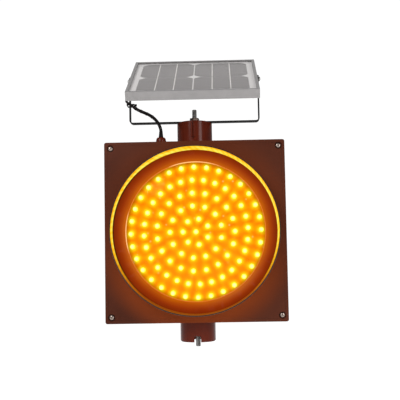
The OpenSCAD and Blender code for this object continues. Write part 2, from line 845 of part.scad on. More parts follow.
module pivot_bolts() color(steel) {
    at_pivots() translate([0, 0, leg_out_x + touch])
        pan_screw(pivot_r, strap_t + leg_gap + rail_t + pivot_nut_t + 2, pivot_head_r,
            pivot_head_t);
}

module pivot_washers() color([0.85, 0.85, 0.82]) {
    at_pivots() translate([0, 0, panel_w / 2])
        washer(pivot_washer_r, pivot_r + pivot_fit, leg_gap - touch);
}

module pivot_nuts() color(zinc) {
    at_pivots() translate([0, 0, panel_w / 2 - rail_t - pivot_nut_t])
        rotate([0, 0, panel_tilt]) rotate([0, 0, 30])
            hex_nut(pivot_nut_flats, pivot_nut_t, pivot_r + fit);
}

// ---- solar panel ----

// one mitred rail of the frame, its outer face on the line v = 0, running along u
module rail(length) {
    top = panel_t / 2;
    intersection() {
        translate([length / 2, 0, 0]) rotate([0, -90, 0]) linear_extrude(length) {
            translate([-top, 0]) square([panel_t, rail_t]);
            translate([top - rail_t, 0]) square([rail_t, lip_w]);
            translate([sheet_low_n - rail_t, 0]) square([rail_t, ledge_w]);
            translate([-top, 0]) square([rail_t, foot_w]);
            translate([-top, foot_w - rail_t]) square([3 * rail_t, rail_t]);
        }
        translate([0, 0, -top - cut]) linear_extrude(panel_t + 2 * cut)
            polygon([[-length / 2, 0], [length / 2, 0], [length / 2 - 2 * foot_w, 2 * foot_w],
                [-length / 2 + 2 * foot_w, 2 * foot_w]]);
    }
}

module frame_rail_front() color(alloy) {
    on_panel() translate([0, -panel_l / 2, 0]) rail(panel_w);
}

module frame_rail_rear() color(alloy) {
    on_panel() translate([0, panel_l / 2, 0]) rotate([0, 0, 180]) rail(panel_w);
}

module side_rail(side) {
    difference() {
        on_panel() translate([side * panel_w / 2, 0, 0]) rotate([0, 0, side * 90])
            rail(panel_l);
        translate([side * (panel_w / 2 - foot_w), 0, pivot_z]) rotate([0, side * 90, 0])
            cylinder(r = pivot_r + pivot_fit, h = foot_w + cut);
    }
}

module frame_rail_left() color(alloy) side_rail(-1);

module frame_rail_right() color(alloy) side_rail(1);

module corner_keys() color(alloy) {
    low_n = -panel_t / 2 + rail_t + fit;
    high_n = sheet_low_n - rail_t - fit;
    on_panel() for (x = [0, 1], y = [0, 1])
        mirror([x, 0, 0]) mirror([0, y, 0])
            translate([-panel_w / 2 + rail_t + fit, -panel_l / 2 + rail_t + fit, low_n]) {
                cube([key_len, key_t, high_n - low_n]);
                cube([key_t, key_len, high_n - low_n]);
            }
}

// a flat layer of the laminate between two heights
module layer(low_n, high_n) {
    inset = rail_t + laminate_gap;
    on_panel() translate([-panel_w / 2 + inset, -panel_l / 2 + inset, low_n])
        cube([panel_w - 2 * inset, panel_l - 2 * inset, high_n - low_n]);
}

module panel_glass() color([0.6, 0.65, 0.7], 0.4) layer(glass_low_n, glass_top_n);

module backsheet() color([0.9, 0.9, 0.9]) layer(sheet_low_n, cell_low_n);

// four square cells with clipped corners, each cut into three strips
module solar_cells() color([0.25, 0.24, 0.26]) {
    pitch = cell_w + cell_gap;
    strip_w = (cell_w - 2 * strip_gap) / 3;
    on_panel() translate([0, 0, cell_low_n]) linear_extrude(cell_t)
        for (x = [-1, 1], y = [-1, 1])
            translate([x * pitch / 2, y * pitch / 2])
                for (s = [-1, 0, 1])
                    intersection() {
                        translate([s * (strip_w + strip_gap) - strip_w / 2, -cell_w / 2])
                            square([strip_w, cell_w]);
                        circle(cell_round_r);
                    }
}

module junction_box() color(rubber_black) {
    shell = 2;
    on_panel() translate([jb_at[0], jb_at[1], jb_low_n]) difference() {
        translate([-jb_size[0] / 2, -jb_size[1] / 2, 0])
            cube([jb_size[0], jb_size[1], sheet_low_n - jb_low_n]);
        translate([-jb_size[0] / 2 + 3 * shell, -jb_size[1] / 2 + shell, -cut])
            cube([jb_size[0] - 6 * shell, jb_size[1] - 2 * shell, sheet_low_n - jb_low_n - shell]);
        for (x = [-1, 1], y = [-1, 1])
            translate([x * (jb_size[0] / 2 - 3), y * (jb_size[1] / 2 - 6), -cut])
                cylinder(r = 1 + fit, h = 6);
    }
}

module junction_lid() color(rubber_black) {
    on_panel() translate([jb_at[0], jb_at[1], jb_low_n - jb_lid_t]) difference() {
        linear_extrude(jb_lid_t) round_rect(jb_size[0], jb_size[1], 2);
        for (x = [-1, 1], y = [-1, 1])
            translate([x * (jb_size[0] / 2 - 3), y * (jb_size[1] / 2 - 6), -cut])
                cylinder(r = 1.2, h = jb_lid_t + 2 * cut);
    }
}

module junction_screws() color(steel) {
    on_panel() for (x = [-1, 1], y = [-1, 1])
        translate([jb_at[0] + x * (jb_size[0] / 2 - 3), jb_at[1] + y * (jb_size[1] / 2 - 6),
            jb_low_n - jb_lid_t])
            rotate([180, 0, 0]) pan_screw(1, jb_lid_t + 4, 2, 1.2);
}

module junction_gland() color(rubber_black) {
    len = jb_at[0] - jb_size[0] / 2 - jb_gland_at[0];
    on_panel() translate(jb_gland_at) rotate([0, 90, 0]) {
        cylinder(r1 = jb_gland_r - 1.2, r2 = jb_gland_r, h = len * 0.6);
        translate([0, 0, len * 0.6]) cylinder(r = jb_gland_r, h = len * 0.4);
    }
}

// ---- solar lead ----

module lead_tie() color(rubber_black) {
    t = 1.2;
    low = [-134.8, -13.9];
    high = [-121.4, 8.4];
    translate([0, 0, tie_z]) {
        linear_extrude(tie_h) difference() {
            translate([low[0] - t, low[1] - t]) square([high[0] - low[0] + 2 * t,
                high[1] - low[1] + 2 * t]);
            translate(low) square(high - low);
        }
        translate([high[0] + t, -9, -0.5]) cube([4, 5, tie_h + 1]);
    }
}

module lead_lower() color(rubber_black) tube(lead_lower_route, lead_d, 10);

module lead_upper() color(rubber_black) tube(lead_upper_route, lead_d, 10);

front_cover();
rear_case();
case_seal();
cover_screws();
visor();
bezel_ring();
lens();
lens_gasket();
module_back();
module_clips();
clip_screws();
led_board();
leds();
board_screws();
top_socket();
bottom_socket();
threaded_rod();
rod_sleeve();
top_nut();
top_washer();
bottom_nut();
bottom_washer();
battery();
battery_terminals();
battery_clamp();
battery_screws();
controller_board();
controller_parts();
terminal_block();
board_posts();
controller_screws();
battery_wires();
led_wires();
panel_wires();
switch_body();
switch_blades();
power_rocker();
gland();
gland_nut();
bracket_strap();
pivot_bolts();
pivot_washers();
pivot_nuts();
frame_rail_front();
frame_rail_rear();
frame_rail_left();
frame_rail_right();
corner_keys();
panel_glass();
solar_cells();
backsheet();
junction_box();
junction_lid();
junction_screws();
junction_gland();
lead_tie();
lead_lower();
lead_upper();
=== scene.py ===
"""Looks for the solar warning light: housing, lamp, sockets, rod, bracket, panel and lead."""

import json
import math

import bmesh
import bpy
from mathutils import Matrix, Vector


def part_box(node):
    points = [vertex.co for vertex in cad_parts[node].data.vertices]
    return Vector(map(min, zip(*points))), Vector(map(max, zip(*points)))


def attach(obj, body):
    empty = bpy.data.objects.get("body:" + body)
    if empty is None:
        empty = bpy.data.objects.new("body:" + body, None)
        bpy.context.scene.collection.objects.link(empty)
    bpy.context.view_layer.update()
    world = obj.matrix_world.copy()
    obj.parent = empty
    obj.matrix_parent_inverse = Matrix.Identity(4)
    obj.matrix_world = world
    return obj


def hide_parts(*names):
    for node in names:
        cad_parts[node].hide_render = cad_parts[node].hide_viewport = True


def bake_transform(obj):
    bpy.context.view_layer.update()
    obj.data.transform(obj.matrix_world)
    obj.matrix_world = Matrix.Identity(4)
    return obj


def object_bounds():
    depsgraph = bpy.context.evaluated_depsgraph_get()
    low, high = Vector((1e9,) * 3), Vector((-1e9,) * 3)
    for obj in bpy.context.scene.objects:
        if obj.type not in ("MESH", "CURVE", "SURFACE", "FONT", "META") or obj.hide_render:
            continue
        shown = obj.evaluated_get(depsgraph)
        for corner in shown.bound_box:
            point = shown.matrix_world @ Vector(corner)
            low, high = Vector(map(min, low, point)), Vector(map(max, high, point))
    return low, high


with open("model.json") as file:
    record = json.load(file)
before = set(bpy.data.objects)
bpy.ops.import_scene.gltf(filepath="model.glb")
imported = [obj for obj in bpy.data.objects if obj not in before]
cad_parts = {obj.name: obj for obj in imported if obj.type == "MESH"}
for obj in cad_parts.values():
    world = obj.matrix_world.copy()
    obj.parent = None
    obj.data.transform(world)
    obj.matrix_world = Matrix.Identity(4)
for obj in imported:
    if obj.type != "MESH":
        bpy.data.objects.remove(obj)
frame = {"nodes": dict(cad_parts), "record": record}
cad_low, cad_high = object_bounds()
nodes = frame["nodes"]
bodies = frame["record"]["behaviour"]["bodies"]
body_of = {name: body for body, names in bodies.items() for name in names}
slot_of = {part["node"]: part["material_slot"] for part in frame["record"]["subparts"]}


# ---- places and sizes, in metres ----

MM = 0.001
visor_low, visor_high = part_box("visor")
LAMP = Vector((0, visor_low.y, (visor_low.z + visor_high.z) / 2))
# The LEDs stand in one-pitch rings from the middle outwards, each with its start in degrees.
RING_PITCH = 25.7 * MM
RING_COUNTS = (1, 7, 13, 19, 28, 32)
RING_STARTS = (0, 180, 180, 0, 3.5, 1)
LED_CORE = 4.4 * MM
# Spread of the painted glow round each LED on the board.
PAINTED_HALO_SPREAD = 9.0 * MM
VISOR_R = 158 * MM
LENS_R = 137 * MM
ROD_R = 5 * MM
THREAD_PITCH = 1.5 * MM
SCREW_HEAD_R = 4.6 * MM
SCREW_SHANK_R = 2.5 * MM
COVER_HEAD_T = 3.2 * MM
BOLT_HEAD_T = 3.4 * MM
PANEL_TILT = math.radians(28)
PIVOT = Vector((0, 0, 0.524))
PIVOT_DROP = 3.2 * MM
CELL = 108.5 * MM
CELL_GAP = 2.5 * MM
CELL_STRIPS = 3
RIBBON_W = 1.9 * MM
RIBBON_INSET = 1.5 * MM
RIBBON_HEIGHTS = (4.26 * MM, 4.42 * MM)
LEAD_D = 5 * MM
GLAND_TOP = Vector((-0.066, -0.034, 0.402))
TIE = Vector((-0.128, -0.011, 0.474))
UPPER_BEND = ((-0.132, 0.0115, 0.495), (-0.100, 0.003, 0.5247))
FLOOR_DROP = 0.34
LEAD_LOWER = [
    (-0.066, -0.034, 0.402), (-0.066, -0.034, 0.406), (-0.066, -0.034, 0.411),
    (-0.066, -0.0335, 0.416), (-0.067, -0.033, 0.421), (-0.069, -0.032, 0.427),
    (-0.072, -0.0305, 0.433), (-0.0765, -0.0285, 0.439), (-0.0825, -0.026, 0.445),
    (-0.090, -0.023, 0.4505), (-0.098, -0.019, 0.455), (-0.1065, -0.015, 0.4595),
    (-0.1145, -0.012, 0.464), (-0.122, -0.011, 0.4695), (-0.128, -0.011, 0.474),
]
LEAD_UPPER = [
    (-0.128, -0.011, 0.474), (-0.132, -0.011, 0.477), (-0.1355, -0.009, 0.480),
    (-0.1375, -0.0045, 0.483), (-0.138, 0, 0.486), (-0.1375, 0.0045, 0.489),
    (-0.1355, 0.0085, 0.492), (-0.132, 0.0115, 0.495), (-0.1275, 0.0125, 0.4985),
    (-0.1225, 0.012, 0.5025), (-0.1175, 0.0105, 0.507), (-0.113, 0.0085, 0.512),
    (-0.109, 0.0065, 0.517), (-0.106, 0.0045, 0.5215), (-0.103, 0.0035, 0.524),
    (-0.100, 0.003, 0.5247), (-0.097, 0.003, 0.5247),
]


# ---- camera ----

# Lens and sensor are in millimetres, turns in degrees.
CAMERA_PLACE = (0.0471, -1.5666, 0.1553)
CAMERA_LENS, CAMERA_SENSOR = 70.39, 36
CAMERA_YAW, CAMERA_PITCH, CAMERA_ROLL = 1.42, 4.54, 1.01


def turned(degrees, axis, size=3):
    """The matrix of a turn about an axis."""
    return Matrix.Rotation(math.radians(degrees), size, axis)


def add_camera():
    """Stands in front, a little right of the middle and low, looking slightly up."""
    data = bpy.data.cameras.new("camera")
    data.sensor_width = CAMERA_SENSOR
    data.lens = CAMERA_LENS
    data.clip_start = 0.05
    data.clip_end = 60
    camera = bpy.data.objects.new("camera", data)
    turn = turned(CAMERA_YAW, "Z") @ turned(CAMERA_PITCH, "X") @ turned(CAMERA_ROLL, "Y")
    level = turned(90, "X")
    camera.matrix_world = Matrix.Translation(CAMERA_PLACE) @ (turn @ level).to_4x4()
    bpy.context.scene.collection.objects.link(camera)
    bpy.context.scene.camera = camera


add_camera()


# ---- node graphs ----

class Graph:
    """Short calls for building a material's nodes around one Principled shader."""

    def __init__(self, name, colour=(0.5, 0.5, 0.5), rough=0.5, **values):
        self.material = bpy.data.materials.new(name)
        self.material.use_nodes = True
        self.tree = self.material.node_tree
        self.shader = self.tree.nodes["Principled BSDF"]
        self.output = self.tree.nodes["Material Output"]
        self.set(self.shader, Base_Color=(*colour, 1), Roughness=rough, **values)
        self.place = self.add("ShaderNodeTexCoord").outputs["Object"]

    def put(self, socket, value):
        """Links a node's output to a socket, or sets the socket's own value."""
        if isinstance(value, bpy.types.NodeSocket):
            self.tree.links.new(value, socket)
        else:
            socket.default_value = value

    def set(self, node, **values):
        """Puts values on a node's sockets, named with _ for each space."""
        for key, value in values.items():
            self.put(node.inputs[key.replace("_", " ")], value)

    def add(self, kind, settings=None, **values):
        node = self.tree.nodes.new(kind)
        for key, value in (settings or {}).items():
            setattr(node, key, value)
        self.set(node, **values)
        return node

    def math(self, operation, *values):
        node = self.add("ShaderNodeMath", {"operation": operation})
        for socket, value in zip(node.inputs, values):
            self.put(socket, value)
        return node.outputs[0]

    def stretched(self, scale):
        """Object coordinates with each axis scaled, so that a pattern can run along one axis."""
        return self.add("ShaderNodeMapping", Vector=self.place, Scale=scale).outputs[0]

    def noise(self, scale, detail=3.0, along=None, rough=0.5):
        """Smooth noise from 0 to 1; scale is features a metre."""
        place = self.stretched(along) if along else self.place
        return self.add("ShaderNodeTexNoise", Vector=place, Scale=scale, Detail=detail,
                        Roughness=rough).outputs["Fac"]

    def ramp(self, value, *stops):
        """Colours at given values, with straight blends between them."""
        node = self.add("ShaderNodeValToRGB", Fac=value)
        elements = node.color_ramp.elements
        while len(elements) < len(stops):
            elements.new(0.5)
        for element, (at, colour) in zip(elements, stops):
            element.position = at
            element.color = (*colour, 1)
        return node.outputs["Color"]

    def between(self, value, low, high):
        """Runs from 0 to 1 as value goes from low to high."""
        return self.add("ShaderNodeMapRange", {"interpolation_type": "SMOOTHSTEP"}, Value=value,
                        From_Min=low, From_Max=high).outputs[0]

    def scaled(self, value, low, high):
        """Maps 0..1 to low..high."""
        return self.math("MULTIPLY_ADD", value, high - low, low)

    def mixed(self, factor, first, second):
        """A blend of two colours: the first where factor is 0, the second where it is 1."""
        node = self.add("ShaderNodeMix", {"data_type": "RGBA"}, Factor=factor)
        self.put(node.inputs["A"], first)
        self.put(node.inputs["B"], second)
        return node.outputs["Result"]

    def mottled(self, noise, colour, shade):
        """A colour that runs a little darker and a little lighter with a noise."""
        dark = [c * (1 - shade) for c in colour]
        light = [min(1, c * (1 + shade)) for c in colour]
        return self.ramp(noise, (0.3, dark), (0.7, light))

    def bump(self, height, strength, depth):
        node = self.add("ShaderNodeBump", Height=height, Strength=strength, Distance=depth)
        self.set(self.shader, Normal=node.outputs[0])

    def polar(self):
        """Radius and angle round the lamp's axis, and the place along it."""
        split = self.add("ShaderNodeSeparateXYZ", Vector=self.place)
        x = split.outputs["X"]
        z = self.math("SUBTRACT", split.outputs["Z"], LAMP.z)
        square = self.math("ADD", self.math("MULTIPLY", x, x), self.math("MULTIPLY", z, z))
        return self.math("SQRT", square), self.math("ARCTAN2", z, x), split.outputs["Y"]

    def led_glow(self, spread):
        """Brightness round the LEDs: 1 over each one, falling away over the spread."""
        radius, angle, _ = self.polar()
        total = 0.0
        for k, (count, start) in enumerate(zip(RING_COUNTS, RING_STARTS)):
            half = math.pi / count
            turn = self.math("WRAP", self.math("SUBTRACT", angle, math.radians(start)), half, -half)
            sideways = self.math("MULTIPLY", turn, k * RING_PITCH)
            inward = self.math("SUBTRACT", radius, k * RING_PITCH)
            square = self.math("ADD", self.math("MULTIPLY", sideways, sideways),
                               self.math("MULTIPLY", inward, inward))
            light = self.math("EXPONENT", self.math("DIVIDE", square, -spread * spread))
            total = self.math("ADD", light, total)
        return total


# ---- materials ----

def moulded(name, colour, rough=0.35, grain=0.00004, shade=0.25, **values):
    """Moulded plastic: faint flow shading, slightly uneven gloss and a fine skin texture."""
    g = Graph(name, colour, rough, **values)
    g.set(g.shader, Base_Color=g.mottled(g.noise(9, 4), colour, shade))
    g.set(g.shader, Roughness=g.scaled(g.noise(45, 5), rough - 0.06, rough + 0.08))
    g.bump(g.noise(2400, 2), 0.35, grain)
    return g


def housing_with_painted_lamp_light():
    """Red-brown housing plastic, with painted amber lamp light on its face round the visor,
    strongest below it.
    """
    g = Graph("housing", rough=0.36, Specular_IOR_Level=0.09)
    radius, _, depth = g.polar()
    flow = g.noise(7, 4)
    plain = g.ramp(flow, (0.3, (0.046, 0.0100, 0.0040)), (0.7, (0.069, 0.0164, 0.0070)))
    # Painted lamp light: an amber wash on the front face near the visor, stronger lower down.
    height = g.add("ShaderNodeSeparateXYZ", Vector=g.place).outputs["Z"]
    low = g.math("SUBTRACT", 1.0, g.between(height, 0.05, 0.22))
    near = g.math("SUBTRACT", 1.0, g.between(radius, VISOR_R, VISOR_R + 0.055))
    face = g.math("SUBTRACT", 1.0, g.between(depth, -0.062, -0.045))
    painted_lamp_light = g.math("MULTIPLY", g.math("MULTIPLY", near, face), g.scaled(low, 0.25, 0.9))
    g.set(g.shader, Base_Color=g.mixed(painted_lamp_light, plain, (0.22, 0.036, 0.003, 1)))
    g.set(g.shader, Roughness=g.scaled(g.noise(45, 5), 0.30, 0.44))
    g.bump(g.noise(1800, 2), 0.3, 0.00005)
    return g


def metal(name, colour, rough, along=(1, 1, 1), fine=900, shade=0.18, mottle=60,
          metallic=1.0):
    """Metal with fine drawn lines along one axis and a mottled tone."""
    g = Graph(name, colour, rough, Metallic=metallic)
    g.set(g.shader, Base_Color=g.mottled(g.noise(mottle, 4), colour, shade))
    lines = g.noise(fine, 3, along=along)
    g.set(g.shader, Roughness=g.scaled(lines, rough - 0.1, rough + 0.12))
    g.bump(lines, 0.2, 0.00002)
    return g


def powder_coat(name, colour):
    """Powder coat: an orange-peel skin with a few rubbed spots."""
    g = Graph(name, colour, 0.42, Specular_IOR_Level=0.04)
    rubbed = [c + 0.015 for c in colour]
    g.set(g.shader, Base_Color=g.ramp(g.noise(26, 5), (0.35, colour), (0.78, rubbed)))
    g.set(g.shader, Roughness=g.scaled(g.noise(70, 4), 0.50, 0.68))
    g.bump(g.noise(750, 2), 0.5, 0.00006)
    return g


def rubber(name, colour, rough=0.7):
    """Cable jacket and gaskets: matt, dusty in patches."""
    g = Graph(name, colour, rough, Specular_IOR_Level=0.08)
    dusty = [c * 1.5 + 0.003 for c in colour]
    g.set(g.shader, Base_Color=g.ramp(g.noise(60, 5), (0.35, colour), (0.8, dusty)))
    g.set(g.shader, Roughness=g.scaled(g.noise(200, 3), rough - 0.12, rough + 0.1))
    g.bump(g.noise(1500, 2), 0.4, 0.00004)
    return g


def clear(name, tint, mirror, ior, rough, smear):
    """A thin clear shell, with a mirror film on top that grows at glancing angles."""
    g = Graph(name)
    through = g.add("ShaderNodeBsdfTransparent", Color=(*tint, 1))
    gloss = g.add("ShaderNodeBsdfGlossy", Color=(*mirror, 1))
    g.set(gloss, Roughness=g.scaled(g.noise(35, 5), rough, rough + smear))
    outside = g.math("SUBTRACT", 1.0, g.add("ShaderNodeNewGeometry").outputs["Backfacing"])
    film = g.math("MULTIPLY", g.add("ShaderNodeFresnel", IOR=ior).outputs[0], outside)
    mix = g.add("ShaderNodeMixShader")
    for socket, value in zip(mix.inputs, (film, through.outputs[0], gloss.outputs[0])):
        g.put(socket, value)
    g.put(g.output.inputs["Surface"], mix.outputs[0])
    return g


def led_material():
    """Lit LED resin: almost white in the middle of each dome, amber at its edge."""
    g = Graph("led_amber", (0.9, 0.6, 0.1), 0.2)
    uneven = g.math("MULTIPLY", g.noise(90, 2), 0.22)
    glow = g.math("SUBTRACT", g.led_glow(LED_CORE), uneven)
    colour = g.ramp(glow, (0.24, (1.0, 0.78, 0.04)), (0.42, (1.0, 0.97, 0.30)),
                    (0.62, (1.0, 1.0, 0.64)))
    g.set(g.shader, Emission_Color=colour, Emission_Strength=1.5)
    return g


def board_painted_glow():
    """LED board: dark solder mask with painted amber LED light on it, glowing brightest round each
    LED, with painted glints, and dimmer towards the lens edge.
    """
    g = Graph("circuit_board", (0.02, 0.012, 0.004), 0.5, Specular_IOR_Level=0.05)
    radius, _, _ = g.polar()
    # Painted light: a glow round each LED, made uneven in patches.
    painted_halo = g.led_glow(PAINTED_HALO_SPREAD)
    painted_light_patch = g.math("MULTIPLY", g.noise(75, 3), 0.52)
    level = g.math("ADD", g.math("MULTIPLY", painted_halo, 0.80), painted_light_patch)
    colour = g.ramp(level, (0.10, (0.86, 0.140, 0.0)), (0.36, (1.0, 0.30, 0.0)),
                    (0.62, (1.0, 0.54, 0.0)), (0.90, (1.0, 0.92, 0.05)))
    # Painted glints scattered over the board.
    cell = g.add("ShaderNodeTexVoronoi", Vector=g.place, Scale=62.0, Randomness=0.9)
    painted_glint = g.math("SUBTRACT", 1.0, g.between(cell.outputs["Distance"], 0.05, 0.16))
    colour = g.mixed(g.math("MULTIPLY", painted_glint, 0.8), colour, (1.0, 0.60, 0.30, 1))
    # Painted shade: the glow dims at the lens's rim.
    edge = g.math("SUBTRACT", 1.0, g.between(radius, LENS_R - 0.010, LENS_R + 0.004))
    g.set(g.shader, Emission_Color=colour, Emission_Strength=g.scaled(edge, 0.45, 1.0))
    return g


def visor_painted_reflection():
    """Glossy dark visor, with a painted reflection of the lamp on its inner wall: a glowing band of
    short yellow streaks, fading out at the bottom.
    """
    g = Graph("reflector_ring", (0.020, 0.008, 0.005), 0.3, Specular_IOR_Level=0.2)
    radius, angle, depth = g.polar()
    inside = g.math("LESS_THAN", radius, VISOR_R + 0.4 * MM)
    # Painted reflection of the lamp: the upper side of the inner wall glows most, the bottom
    # barely.
    painted_glow_side = g.between(g.math("SINE", angle), -0.90, -0.05)
    reach = g.scaled(g.between(g.math("COSINE", angle), -1.0, -0.2), 0.030, 0.0495)
    behind_rim = g.math("SUBTRACT", depth, LAMP.y)
    band = g.between(g.math("SUBTRACT", reach, behind_rim), -0.004, 0.004)
    # The painted reflection breaks into streaks that run round the wall like a twisted rope.
    twist = g.math("MULTIPLY_ADD", angle, 47.0, g.math("MULTIPLY", depth, 40.0))
    bead = g.math("ABSOLUTE", g.math("SINE", twist))
    uneven = g.scaled(g.noise(55, 4), 0.0, 1.35)
    level = g.math("MULTIPLY", g.math("MULTIPLY_ADD", bead, 0.35, 0.65), uneven)
    inward = g.scaled(g.between(behind_rim, 0.0, 0.022), 0.62, 1.1)
    level = g.math("MULTIPLY", level, g.math("MULTIPLY", g.scaled(painted_glow_side, 0.12, 1.0), inward))
    colour = g.ramp(level, (0.12, (0.90, 0.22, 0.0)), (0.42, (1.0, 0.58, 0.004)),
                    (0.80, (1.0, 0.88, 0.10)))
    strength = g.math("MULTIPLY", g.math("MULTIPLY", inside, band), g.scaled(painted_glow_side, 0.22, 1.0))
    g.set(g.shader, Emission_Color=colour, Emission_Strength=strength)
    g.bump(g.noise(300, 2), 0.2, 0.0001)
    return g


def bezel_painted_glow():
    """Dark sloping ring round the lens, with a painted orange glow of the lamp's light from inside,
    fading outwards.
    """
    g = Graph("bezel", (0.020, 0.004, 0.001), 0.35, Specular_IOR_Level=0.03)
    radius, _, _ = g.polar()
    # Painted lamp light: brightest at the lens, darker outwards, uneven in patches.
    outward = g.between(radius, LENS_R - 0.004, VISOR_R)
    painted_light_patch = g.math("MULTIPLY", g.math("SUBTRACT", g.noise(24, 3), 0.5), 0.35)
    level = g.math("ADD", outward, painted_light_patch)
    colour = g.ramp(level, (0.0, (0.70, 0.150, 0.0)), (0.35, (0.50, 0.075, 0.0)),
                    (0.75, (0.36, 0.036, 0.0)), (1.0, (0.26, 0.024, 0.0)))
    g.set(g.shader, Emission_Color=colour, Emission_Strength=0.8)
    g.bump(g.noise(300, 2), 0.15, 0.0001)
    return g


def cell_material():
    """Silicon cells: silver fingers across each strip, in lighter and darker bands."""
    g = Graph("cells", (0.02, 0.02, 0.024), 0.4, Specular_IOR_Level=0.15)
    flat = g.add("ShaderNodeMapping", {"vector_type": "TEXTURE"}, Vector=g.place,
                 Location=PIVOT, Rotation=(PANEL_TILT, 0, 0))
    slope = g.add("ShaderNodeSeparateXYZ", Vector=flat.outputs[0]).outputs["Y"]
    wave = g.math("SINE", g.math("MULTIPLY", slope, math.tau / (2.1 * MM)))
    finger = g.between(wave, 0.86, 0.97)
    band = g.math("SINE", g.math("MULTIPLY", slope, math.tau / (12 * MM)))
    bright = g.between(band, 0.70, 0.98)
    level = g.math("ADD", g.math("MULTIPLY", finger, 0.55), g.math("MULTIPLY", bright, 0.38))
    level = g.math("ADD", level, g.math("MULTIPLY", g.noise(40, 4), 0.15))
    colour = g.ramp(level, (0.0, (0.022, 0.017, 0.019)), (0.3, (0.068, 0.058, 0.062)),
                    (0.9, (0.42, 0.40, 0.40)))
    g.set(g.shader, Base_Color=colour)
    return g


def speckled(name, colour, spot, scale):
    """Inner parts: a plain moulded colour with fine specks."""
    g = Graph(name, colour)
    g.set(g.shader, Base_Color=g.ramp(g.noise(scale, 3), (0.45, colour), (0.62, spot)))
    g.bump(g.noise(scale * 2, 2), 0.25, 0.00003)
    return g


GRAPHS = {
    "housing": housing_with_painted_lamp_light(),
    "socket": moulded("socket", (0.080, 0.0095, 0.0026), 0.17, Specular_IOR_Level=0.13),
    "black_plastic": moulded("black_plastic", (0.010, 0.009, 0.009), 0.5, Specular_IOR_Level=0.25),
    "reflector_ring": visor_painted_reflection(),
    "lens": clear("lens", (1.0, 0.94, 0.66), (1.0, 0.74, 0.45), 1.13, 0.02, 0.05),
    "rubber": rubber("rubber", (0.007, 0.005, 0.005)),
    "white_plastic": moulded("white_plastic", (0.72, 0.72, 0.70), 0.4, shade=0.05),
    "circuit_board": board_painted_glow(),
    "green_board": speckled("green_board", (0.01, 0.09, 0.03), (0.03, 0.17, 0.06), 160),
    "electronics": speckled("electronics", (0.015, 0.015, 0.017), (0.06, 0.06, 0.065), 220),
    "terminal_green": moulded("terminal_green", (0.01, 0.20, 0.04), 0.4),
    "led_amber": led_material(),
    "steel": metal("steel", (0.34, 0.33, 0.32), 0.32, along=(1, 1, 6)),
    "zinc": metal("zinc", (0.13, 0.095, 0.08), 0.42, mottle=240, shade=0.3),
    "black_steel": powder_coat("black_steel", (0.007, 0.006, 0.006)),
    "aluminium": metal("aluminium", (0.225, 0.216, 0.214), 0.5, along=(0.03, 1, 1), fine=1400,
                       shade=0.06, metallic=0.45),
    "panel_glass": clear("panel_glass", (0.99, 0.985, 0.98), (1.0, 0.98, 0.97), 1.15, 0.04,
                         0.06),
    "cells": cell_material(),
    "backsheet": moulded("backsheet", (0.58, 0.57, 0.575), 0.5, shade=0.04,
                         Specular_IOR_Level=0.15),
    "battery_case": moulded("battery_case", (0.025, 0.025, 0.028), 0.5),
    "tinned": metal("tinned", (0.62, 0.60, 0.59), 0.45, metallic=0.4),
    "red_wire": rubber("red_wire", (0.25, 0.012, 0.010), 0.5),
    "yellow_wire": rubber("yellow_wire", (0.40, 0.22, 0.01), 0.5),
    "nylon": moulded("nylon", (0.62, 0.62, 0.58), 0.45, shade=0.05),
    "red_rocker": moulded("red_rocker", (0.30, 0.010, 0.008), 0.3),
}

# Finishes of pieces that differ from the rest of their slot.
# The bezel's finish is a painted orange glow of the lamp's light.
PAINTED_GLOW_BEZEL = bezel_painted_glow()
BLACK_NYLON = moulded("black_nylon", (0.004, 0.0035, 0.0035), 0.6, Specular_IOR_Level=0.05)
SCREW_ZINC = metal("screw_zinc", (0.26, 0.21, 0.18), 0.28, shade=0.25, mottle=400,
                   metallic=0.9)


def paint(obj, slot):
    """Gives a piece the material of a record slot."""
    obj.data.materials.clear()
    obj.data.materials.append(GRAPHS[slot].material)


for name, node in nodes.items():
    paint(node, slot_of[name])
# The board's screws share its painted amber glow, so that they don't stand out behind the lens.
paint(nodes["board_screws"], "circuit_board")


# ---- making pieces ----

# The six faces of a box whose corners are listed once round the bottom, then once round the top.
BOX_FACES = ((3, 2, 1, 0), (4, 5, 6, 7), (0, 1, 5, 4), (1, 2, 6, 5), (2, 3, 7, 6), (3, 0, 4, 7))


def new_piece(name, mesh, body, slot, replaced=()):
    """Links a mesh as a piece with a slot's finish; body is None where the piece is left
    unattached.
    """
    obj = bpy.data.objects.new(name, mesh)
    bpy.context.scene.collection.objects.link(obj)
    paint(obj, slot)
    if body:
        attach(obj, body)
    if replaced:
        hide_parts(*replaced)
    return obj


def smoothed(mesh, sharp_from):
    """Shades a mesh smooth, apart from its edges over an angle in degrees."""
    mesh.shade_smooth()
    mesh.set_sharp_from_angle(angle=math.radians(sharp_from))
    return mesh


def mesh_of(name, verts, faces, sharp_from=35):
    mesh = bpy.data.meshes.new(name)
    mesh.from_pydata([tuple(v) for v in verts], [], faces)
    mesh.update()
    return smoothed(mesh, sharp_from)


def lathe(profile, sides, place=Matrix.Identity(4)):
    """Vertices and faces of a closed profile of (radius, height) turned round Z, then placed."""
    n = len(profile)
    verts = [place @ Vector((r * math.cos(a), r * math.sin(a), z))
             for a in (math.tau * k / sides for k in range(sides)) for r, z in profile]
    faces = []
    for k in range(sides):
        m = (k + 1) % sides
        for i in range(n - 1):
            faces.append((k * n + i, m * n + i, m * n + i + 1, k * n + i + 1))
    return verts, faces


def tube_faces(rows, sides):
    """Faces of a closed tube whose points come in rows of so many sides."""
    faces = []
    for i in range(rows - 1):
        for k in range(sides):
            m = (k + 1) % sides
            faces.append((i * sides + k, i * sides + m, (i + 1) * sides + m, (i + 1) * sides + k))
    faces.append(tuple(reversed(range(sides))))
    faces.append(tuple(range((rows - 1) * sides, rows * sides)))
    return faces


